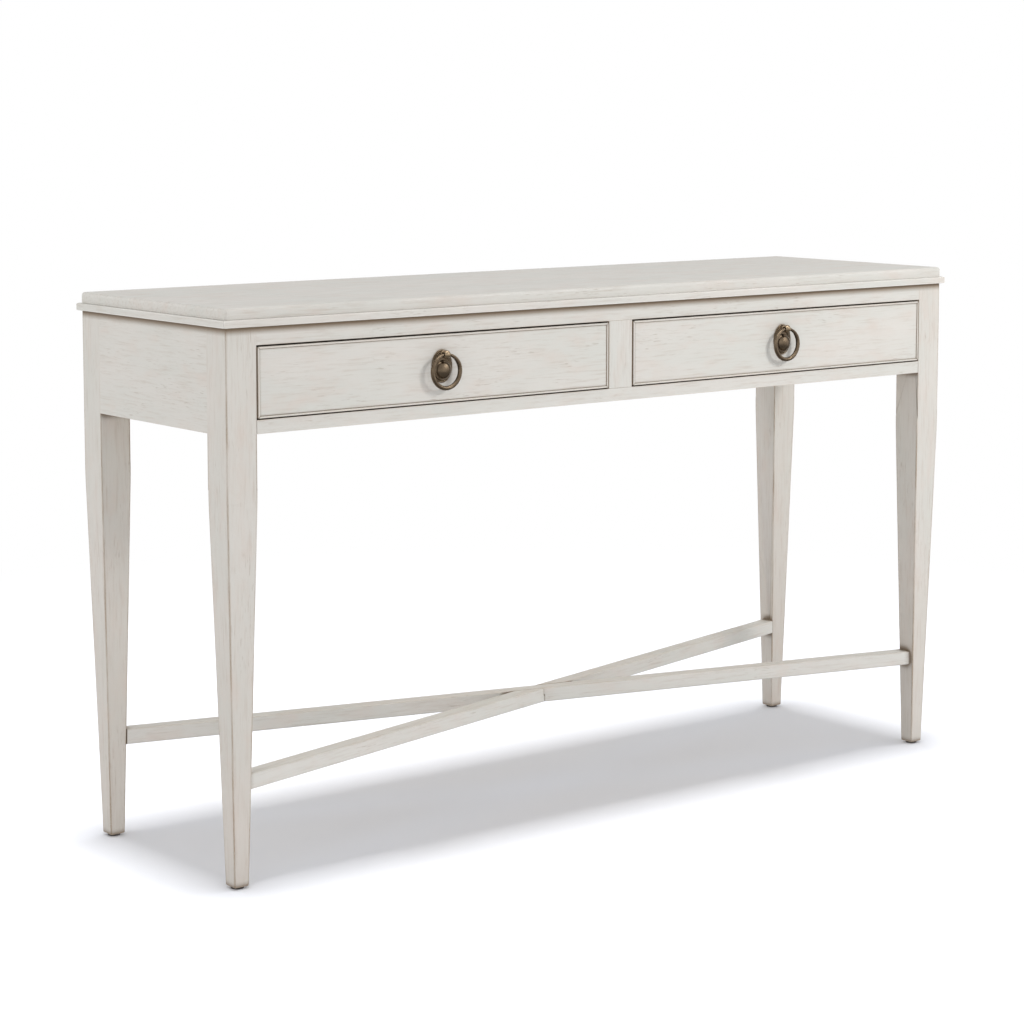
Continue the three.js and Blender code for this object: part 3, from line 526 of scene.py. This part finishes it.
LOOKS = {
    "top_panel": painted["top"],
    "moulding_front": painted["moulding_x"],
    "moulding_back": painted["moulding_x"],
    "moulding_left": painted["moulding_y"],
    "moulding_right": painted["moulding_y"],
    "apron_left": painted["y"],
    "apron_right": painted["y"],
    "apron_back": painted["x"],
    "rail_top": painted["x"],
    "rail_bottom": painted["x"],
    "stile": painted["z"],
    "stretcher_lower": painted["rising_bar"],
    "stretcher_upper": painted["falling_bar"],
}
for corner in CORNERS:
    LOOKS[f"leg_{corner}"] = painted["leg"]
for place in ("left", "center", "right"):
    LOOKS[f"runner_{place}"] = bare["y"]
    LOOKS[f"kicker_{place}"] = bare["y"]
for side in SIDES:
    LOOKS[f"drawer_{side}_front"] = painted["drawer"]
    LOOKS[f"drawer_{side}_bead_top"] = painted["bead_x"]
    LOOKS[f"drawer_{side}_bead_bottom"] = painted["bead_x"]
    LOOKS[f"drawer_{side}_bead_left"] = painted["bead_z"]
    LOOKS[f"drawer_{side}_bead_right"] = painted["bead_z"]
    LOOKS[f"drawer_{side}_side_left"] = bare["y"]
    LOOKS[f"drawer_{side}_side_right"] = bare["y"]
    LOOKS[f"drawer_{side}_back"] = bare["x"]
    LOOKS[f"drawer_{side}_bottom"] = plywood

FLUSH = {
    "apron_left": "y",
    "apron_right": "y",
    "apron_back": "x",
    "rail_top": "x",
    "rail_bottom": "x",
    "stile": "z",
}
for name, material in LOOKS.items():
    width = SOFTEN.get(name.split("_")[0], SOFTEN_OTHERS) * MM
    marker = "leg" if name.startswith("leg") else FLUSH.get(name)
    finish_node(name, material, width, markers.get(marker))


# ---------------------------------------------------------------- smooth metal and plastic pieces

AROUND = 64


def circle(radius, level, count=AROUND):
    """A ring of points about the Z axis."""
    turns = [2 * math.pi * i / count for i in range(count)]
    return [Vector((radius * math.cos(a), radius * math.sin(a), level)) for a in turns]


def skin(rings, closed=False, crease=38):
    """A mesh through rings of points: a tube that ends in flat caps or points, or joins up with itself."""
    mesh = bpy.data.meshes.new("skin")
    made = bmesh.new()
    rows = [[made.verts.new(point) for point in ring] for ring in rings]
    pairs = list(zip(rows, rows[1:]))
    if closed:
        pairs.append((rows[-1], rows[0]))
    for lower, upper in pairs:
        for i in range(len(lower)):
            j = (i + 1) % len(lower)
            made.faces.new((lower[i], lower[j], upper[j], upper[i]))
    if not closed:
        made.faces.new(list(reversed(rows[0])))
        made.faces.new(rows[-1])
    bmesh.ops.remove_doubles(made, verts=made.verts, dist=1e-7)
    bmesh.ops.dissolve_degenerate(made, edges=made.edges, dist=1e-8)
    bmesh.ops.recalc_face_normals(made, faces=made.faces)
    made.to_mesh(mesh)
    made.free()
    smooth(mesh, crease)
    return mesh


def smooth(mesh, crease):
    """Smooth shading, with edges sharper than crease degrees kept crisp."""
    made = bmesh.new()
    made.from_mesh(mesh)
    for face in made.faces:
        face.smooth = True
    for edge in made.edges:
        edge.smooth = edge.calc_face_angle(0) < math.radians(crease)
    made.to_mesh(mesh)
    made.free()


def turned(profile, count=AROUND):
    """A lathe-turned shape about the Z axis from (radius, level) pairs."""
    return skin([circle(max(radius, 0.0), level, count) for radius, level in profile])


def fillet(centre, radius, start, end, steps=6):
    """Points of an arc in a turned profile, from start to end in degrees."""
    angles = [math.radians(start + (end - start) * i / steps) for i in range(steps + 1)]
    return [(centre[0] + radius * math.cos(a), centre[1] + radius * math.sin(a)) for a in angles]


def add_piece(name, mesh, material, node, place=Matrix.Identity(4)):
    """A modelled piece that stands for a CAD node, riding on that node's body."""
    mesh.transform(place)
    mesh.materials.clear()
    mesh.materials.append(material)
    made = bpy.data.objects.new(name, mesh)
    bpy.context.scene.collection.objects.link(made)
    made["board"] = board_numbers[node]
    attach(made, nodes[node]["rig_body"])
    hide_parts(node)
    return made


def combined(mesh, other, operation, crease=38):
    """The union or difference of two closed meshes, as a new mesh."""
    pair = [bpy.data.objects.new("part", m) for m in (mesh, other)]
    for made in pair:
        bpy.context.scene.collection.objects.link(made)
    boolean = pair[0].modifiers.new("boolean", "BOOLEAN")
    boolean.operation = operation
    boolean.solver = "EXACT"
    boolean.object = pair[1]
    graph = bpy.context.evaluated_depsgraph_get()
    result = bpy.data.meshes.new_from_object(pair[0].evaluated_get(graph))
    for made in pair:
        bpy.data.objects.remove(made)
    made = bmesh.new()
    made.from_mesh(result)
    bmesh.ops.remove_doubles(made, verts=made.verts, dist=1e-7)
    made.to_mesh(result)
    made.free()
    smooth(result, crease)
    return result


def oval(half_x, half_z, depth, count=96):
    """A ring of points standing depth in front of a vertical plane."""
    turns = [2 * math.pi * i / count for i in range(count)]
    return [Vector((half_x * math.cos(a), -depth, half_z * math.sin(a))) for a in turns]


RIB_COUNT = 3
RIB_PITCH = 2.2 * MM
RIB_RISE = 0.8 * MM
RIB_HEIGHT = 1.5 * MM
RIB_FOOT = 0.45
RIB_ARC = 0.8 * math.pi
PLATE_RIM = 0.4 * MM
PLATE_RIM_HEIGHT = 0.25 * MM
DOME_HALF = Vector((14.5, 11, 14.5)) * MM
DOME_DROP = 5.25 * MM
DOME_FOOT = 0.5 * MM


def dome_rings():
    """The dome's rings from its foot, which stands off the plane of the plate's back, to its tip."""
    steps = 28
    angles = [math.pi / 2 * i / steps for i in range(steps + 1)]
    rings = []
    for a in angles:
        rings.append(oval(DOME_HALF.x * math.cos(a), DOME_HALF.z * math.cos(a), DOME_HALF.y * math.sin(a)))
    rings[0] = [point + Vector((0, -DOME_FOOT, 0)) for point in rings[0]]
    return rings


def plate_mesh(half_x, half_z):
    """An oval backplate: three rounded ribs stepping up from the rim, and a dome low on the plate."""
    rings = [oval(half_x - PLATE_RIM, half_z - PLATE_RIM, 0), oval(half_x, half_z, PLATE_RIM_HEIGHT)]
    steps = 10
    for rib in range(RIB_COUNT):
        for i in range(steps + 1):
            angle = RIB_ARC * i / steps
            inset = RIB_PITCH * (rib + (1 - math.cos(angle)) / 2)
            depth = RIB_RISE * rib + RIB_HEIGHT * (RIB_FOOT + (1 - RIB_FOOT) * math.sin(angle))
            rings.append(oval(half_x - inset, half_z - inset, depth))
    plate = skin(rings, crease=30)
    dome = skin(dome_rings())
    dome.transform(Matrix.Translation((0, 0, -DOME_DROP)))
    return combined(plate, dome, "UNION", crease=30)


BALL_RADIUS = 6 * MM
BALL_STANDOFF = 11 * MM
BALL_HOLE_RADIUS = 3.1 * MM
COLLAR_RADIUS = 5 * MM
COLLAR_ROUND = 1.2 * MM
POST_RADIUS = 2.25 * MM
POST_INSIDE = 26 * MM
POST_CHAMFER = 0.3 * MM
COLLAR_GAP = 0.3 * MM
COLLAR_BASE = RIB_RISE * (RIB_COUNT - 1) + RIB_HEIGHT + COLLAR_GAP
WAIST_DEGREES = 32
HOLE_LIP = 0.3 * MM


def post_mesh():
    """The post, pointing along +Z: shaft, beaded collar, waist and a bored ball with softened rims."""
    profile = [(0, -POST_INSIDE), (POST_RADIUS - POST_CHAMFER, -POST_INSIDE)]
    profile.append((POST_RADIUS, -POST_INSIDE + POST_CHAMFER))
    profile.append((POST_RADIUS, COLLAR_BASE))
    profile += fillet((COLLAR_RADIUS - COLLAR_ROUND, COLLAR_BASE + COLLAR_ROUND), COLLAR_ROUND, -90, 90, 12)
    steps = 36
    for i in range(steps + 1):
        angle = math.radians(WAIST_DEGREES + (180 - WAIST_DEGREES) * i / steps)
        profile.append((BALL_RADIUS * math.sin(angle), BALL_STANDOFF - BALL_RADIUS * math.cos(angle)))
    post = turned(profile)
    half = 2 * BALL_RADIUS
    flare = math.sqrt(BALL_RADIUS ** 2 - BALL_HOLE_RADIUS ** 2)
    mouth = BALL_HOLE_RADIUS + 1.5 * HOLE_LIP
    bore = [(0, -half), (mouth, -half), (mouth, -flare)]
    bore.append((BALL_HOLE_RADIUS + 0.3 * HOLE_LIP, -flare + HOLE_LIP))
    bore.append((BALL_HOLE_RADIUS, -flare + 2 * HOLE_LIP))
    bore += [(radius, -level) for radius, level in reversed(bore)]
    drill = turned(bore, 48)
    drill.transform(Matrix.Rotation(math.pi / 2, 4, "Y"))
    drill.transform(Matrix.Translation((0, 0, BALL_STANDOFF)))
    return combined(post, drill, "DIFFERENCE", crease=34)


RING_RADIUS = 23.5 * MM
WIRE_BOTTOM = 3.15 * MM
WIRE_TOP = 2.1 * MM
SWELL_START = 0.25
SWELL_END = 1.3


def ring_mesh():
    """The ring hangs from the origin; its wire swells from the top to the bottom."""
    around = 144
    section = 28
    rings = []
    for i in range(around):
        angle = 2 * math.pi * i / around
        share = (min(angle, 2 * math.pi - angle) - SWELL_START) / (SWELL_END - SWELL_START)
        share = min(max(share, 0.0), 1.0)
        wire = WIRE_TOP + (WIRE_BOTTOM - WIRE_TOP) * share * share * (3 - 2 * share)
        ring = []
        for j in range(section):
            turn = 2 * math.pi * j / section
            radius = RING_RADIUS + wire * math.cos(turn)
            drop = radius * math.cos(angle) - RING_RADIUS
            ring.append(Vector((radius * math.sin(angle), wire * math.sin(turn), drop)))
        rings.append(ring)
    return skin(rings, closed=True)


NUT_HOLE_RADIUS = POST_RADIUS + 0.3 * MM


def nut_mesh(radius, height):
    """A hexagon nut, pointing along +Z, with its corners chamfered."""
    turns = [math.radians(60 * i + 30) for i in range(6)]
    rings = []
    for level, share in ((0, 0.93), (0.12, 1), (0.88, 1), (1, 0.93)):
        reach = radius * share
        rings.append([Vector((reach * math.cos(a), reach * math.sin(a), height * level)) for a in turns])
    bored = turned([(NUT_HOLE_RADIUS, -height), (NUT_HOLE_RADIUS, 2 * height)], 32)
    return combined(skin(rings, crease=20), bored, "DIFFERENCE", crease=20)


FORWARD = Matrix.Rotation(math.pi / 2, 4, "X")
INWARD = Matrix.Rotation(-math.pi / 2, 4, "X")


def add_pull(side):
    """One ring pull, placed by its CAD plate and its hinge: the three brass pieces that show, and its nut."""
    node = f"pull_{side}"
    low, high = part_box(f"{node}_plate")
    hinge = next(joint for joint in frame["joints"] if joint["name"] == f"ring_{side}_swing")
    pivot = Vector(hinge["pos_m"])
    plate = plate_mesh((high.x - low.x) / 2, (high.z - low.z) / 2)
    plate_place = Matrix.Translation(((low.x + high.x) / 2, high.y, (low.z + high.z) / 2))
    post_place = Matrix.Translation((pivot.x, high.y, pivot.z)) @ FORWARD
    ring_place = Matrix.Translation(pivot)
    shown = [
        add_piece(f"{node}_backplate", plate, brass, f"{node}_plate", plate_place),
        add_piece(f"{node}_ball_post", post_mesh(), handled_and_highlit_brass, f"{node}_post", post_place),
        add_piece(f"{node}_ring_handle", ring_mesh(), brass, f"{node}_ring", ring_place),
    ]
    low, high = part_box(f"{node}_nut")
    nut = nut_mesh((high.z - low.z) / 2, high.y - low.y)
    nut_place = Matrix.Translation((pivot.x, low.y, pivot.z)) @ INWARD
    add_piece(f"{node}_hex_nut", nut, steel, f"{node}_nut", nut_place)
    return shown


pulls = [piece for side in SIDES for piece in add_pull(side)]


GLIDE_DISC = 3 * MM
GLIDE_RIM = 0.9 * MM
GLIDE_PIN_RADIUS = 1.5 * MM
GLIDE_PIN_POINT = 2 * MM


def glide_mesh(radius, height):
    """A nylon button with a rounded rim below, and the pin that is driven into the foot."""
    profile = [(0, 0)] + fillet((radius - GLIDE_RIM, GLIDE_RIM), GLIDE_RIM, -90, 0)
    profile += [(radius, GLIDE_DISC), (GLIDE_PIN_RADIUS, GLIDE_DISC)]
    profile += [(GLIDE_PIN_RADIUS, height - GLIDE_PIN_POINT), (0, height)]
    return turned(profile)


SCREW_HEAD = 2.5 * MM
SCREW_RIM = 0.2 * MM
SCREW_RIM_TOP = 0.5 * MM
SCREW_SHANK = 12 * MM
SCREW_RADIUS = 2 * MM
SCREW_PITCH = 1.8 * MM
SCREW_THREAD = 0.35 * MM
SCREW_POINT = 4 * MM
SLOT_HALF_LENGTH = 2.4 * MM
SLOT_HALF_WIDTH = 0.45 * MM
SLOT_DEPTH = 1.2 * MM
SLOT_BELOW = 1 * MM


def slot_mesh(half_x, half_y):
    """The block that a screwdriver slot is cut with, from below the head up to the slot's depth."""
    corners = ((half_x, half_y), (-half_x, half_y), (-half_x, -half_y), (half_x, -half_y))
    return skin([[Vector((x, y, level)) for x, y in corners] for level in (-SLOT_BELOW, SLOT_DEPTH)])


def screw_mesh(radius, height):
    """A countersunk wood screw, head down: crossed slots in the head and a ribbed thread to the point."""
    root = SCREW_RADIUS - SCREW_THREAD
    profile = [(0, 0), (radius - SCREW_RIM, 0), (radius, SCREW_RIM), (radius, SCREW_RIM_TOP)]
    profile.append((SCREW_RADIUS, SCREW_HEAD))
    level = SCREW_HEAD + SCREW_SHANK
    while level < height - SCREW_POINT:
        profile += [(root, level), (SCREW_RADIUS, level + SCREW_PITCH / 2)]
        level += SCREW_PITCH
    profile += [(root, height - SCREW_POINT), (0, height)]
    screw = turned(profile, 32)
    for slot in (slot_mesh(SLOT_HALF_LENGTH, SLOT_HALF_WIDTH), slot_mesh(SLOT_HALF_WIDTH, SLOT_HALF_LENGTH)):
        screw = combined(screw, slot, "DIFFERENCE", crease=30)
    return screw


DOWEL_CHAMFER = 0.4 * MM


def dowel_mesh(radius, height):
    """A plain dowel with chamfered ends."""
    narrow = radius - DOWEL_CHAMFER
    profile = [(0, 0), (narrow, 0), (radius, DOWEL_CHAMFER), (radius, height - DOWEL_CHAMFER)]
    return turned(profile + [(narrow, height), (0, height)])


def add_turned(name, make, material, node):
    """A turned piece that stands upright in its node's box."""
    low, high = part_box(node)
    place = Matrix.Translation(((low.x + high.x) / 2, (low.y + high.y) / 2, low.z))
    add_piece(name, make((high.x - low.x) / 2, high.z - low.z), material, node, place)


for corner in CORNERS:
    add_turned(f"{corner}_nail_on_glide", glide_mesh, nylon, f"glide_{corner}")
    add_turned(f"{corner}_wood_screw", screw_mesh, steel, f"top_screw_{corner}")
add_turned("stretcher_lap_dowel", dowel_mesh, bare["z"], "stretcher_dowel")


# ---------------------------------------------------------------- floor, light and camera

FLOOR_RADIUS = 60
FLOOR_FADE = (0.9, 2.2)


def add_floor():
    """The studio floor, wide enough to reach the horizon, which fades to white a little past the table."""
    mesh = bpy.data.meshes.new("floor")
    made = bmesh.new()
    bmesh.ops.create_circle(made, cap_ends=True, radius=FLOOR_RADIUS, segments=96)
    made.to_mesh(mesh)
    made.free()
    floor = bpy.data.objects.new("floor", mesh)
    floor.data.materials.append(studio_floor("studio_floor", *FLOOR_FADE))
    floor.visible_glossy = False
    bpy.context.scene.collection.objects.link(floor)
    return floor


def add_softbox(name, place, target, width, height, radiance, **visibility):
    """A rectangular soft light, as bright as radiance times the white of the backdrop."""
    light = bpy.data.lights.new(name, "AREA")
    light.shape = "RECTANGLE"
    light.size = width
    light.size_y = height
    light.energy = radiance * math.pi * width * height
    lamp = bpy.data.objects.new(name, light)
    lamp.location = place
    aim = Vector(target) - Vector(place)
    lamp.rotation_euler = aim.to_track_quat("-Z", "Y").to_euler()
    for setting, value in visibility.items():
        setattr(lamp, setting, value)
    bpy.context.scene.collection.objects.link(lamp)
    return lamp


def light_only(lamp, objects, state):
    """Links a lamp so that it falls on the objects alone, or on all but them."""
    receivers = bpy.data.collections.new(f"{lamp.name}_receivers")
    for receiver in objects:
        receivers.objects.link(receiver)
    for entry in receivers.collection_objects:
        entry.light_linking.link_state = state
    lamp.light_linking.receiver_collection = receivers


def add_sky():
    """A studio's white walls, softly dimmer overhead and below, where only metal and shade show it."""
    world = bpy.data.worlds.new("studio")
    world.use_nodes = True
    sky = Tree(world.node_tree)
    height = sky.axes(sky.node("ShaderNodeTexCoord").outputs["Generated"])[2]
    below = {"Value": height, "From Min": -0.4, "From Max": -0.05, "To Min": 0.3, "To Max": 1.0}
    above = {"Value": height, "From Min": 0.2, "From Max": 0.7, "To Min": 1.0, "To Max": 0.75}
    ranges = [sky.node("ShaderNodeMapRange", limits).outputs["Result"] for limits in (below, above)]
    sky.feed(world.node_tree.nodes["Background"].inputs["Color"], (1, 1, 1, 1))
    sky.feed(world.node_tree.nodes["Background"].inputs["Strength"], sky.math("MULTIPLY", *ranges))
    bpy.context.scene.world = world


def add_camera(place, yaw, pitch, lens, shift_y):
    """yaw is turned from +Y towards +X, and pitch is below the horizon, both in degrees."""
    camera = bpy.data.cameras.new("camera")
    camera.sensor_width = 36
    camera.lens = lens
    camera.shift_y = shift_y
    holder = bpy.data.objects.new("camera", camera)
    holder.location = place
    holder.rotation_euler = (math.radians(90 - pitch), 0, math.radians(-yaw))
    bpy.context.scene.collection.objects.link(holder)
    bpy.context.scene.camera = holder


floor = add_floor()
add_sky()
KEY_PLACE = (1.5, -2.2, 2.0)
key = add_softbox("key", KEY_PLACE, (0, 0, 0.6), 0.6, 0.6, 33, visible_glossy=False)
rim = add_softbox("rim", (-2.8, 0.5, 2.0), (-0.3, 0, 0.65), 0.4, 0.4, 28, visible_glossy=False)
glint = add_softbox("glint", KEY_PLACE, (0, 0, 0.6), 0.6, 0.6, 34, visible_diffuse=False)
overhead = add_softbox("overhead", (0, -0.1, 30), (0, 0, 0), 4.5, 4.5, 97)
add_softbox("ceiling", (0, -0.4, 3.4), (0, 0, 0), 3.0, 2.0, 2.5, visible_diffuse=False)
light_only(overhead, [floor], "INCLUDE")
light_only(key, [floor], "EXCLUDE")
light_only(rim, [floor], "EXCLUDE")
light_only(glint, pulls, "INCLUDE")
add_camera((-2.5307, -3.1322, 1.0637), 38.293, 6.319, 93.54, -0.12)
bpy.context.scene.view_settings.view_transform = "Standard"
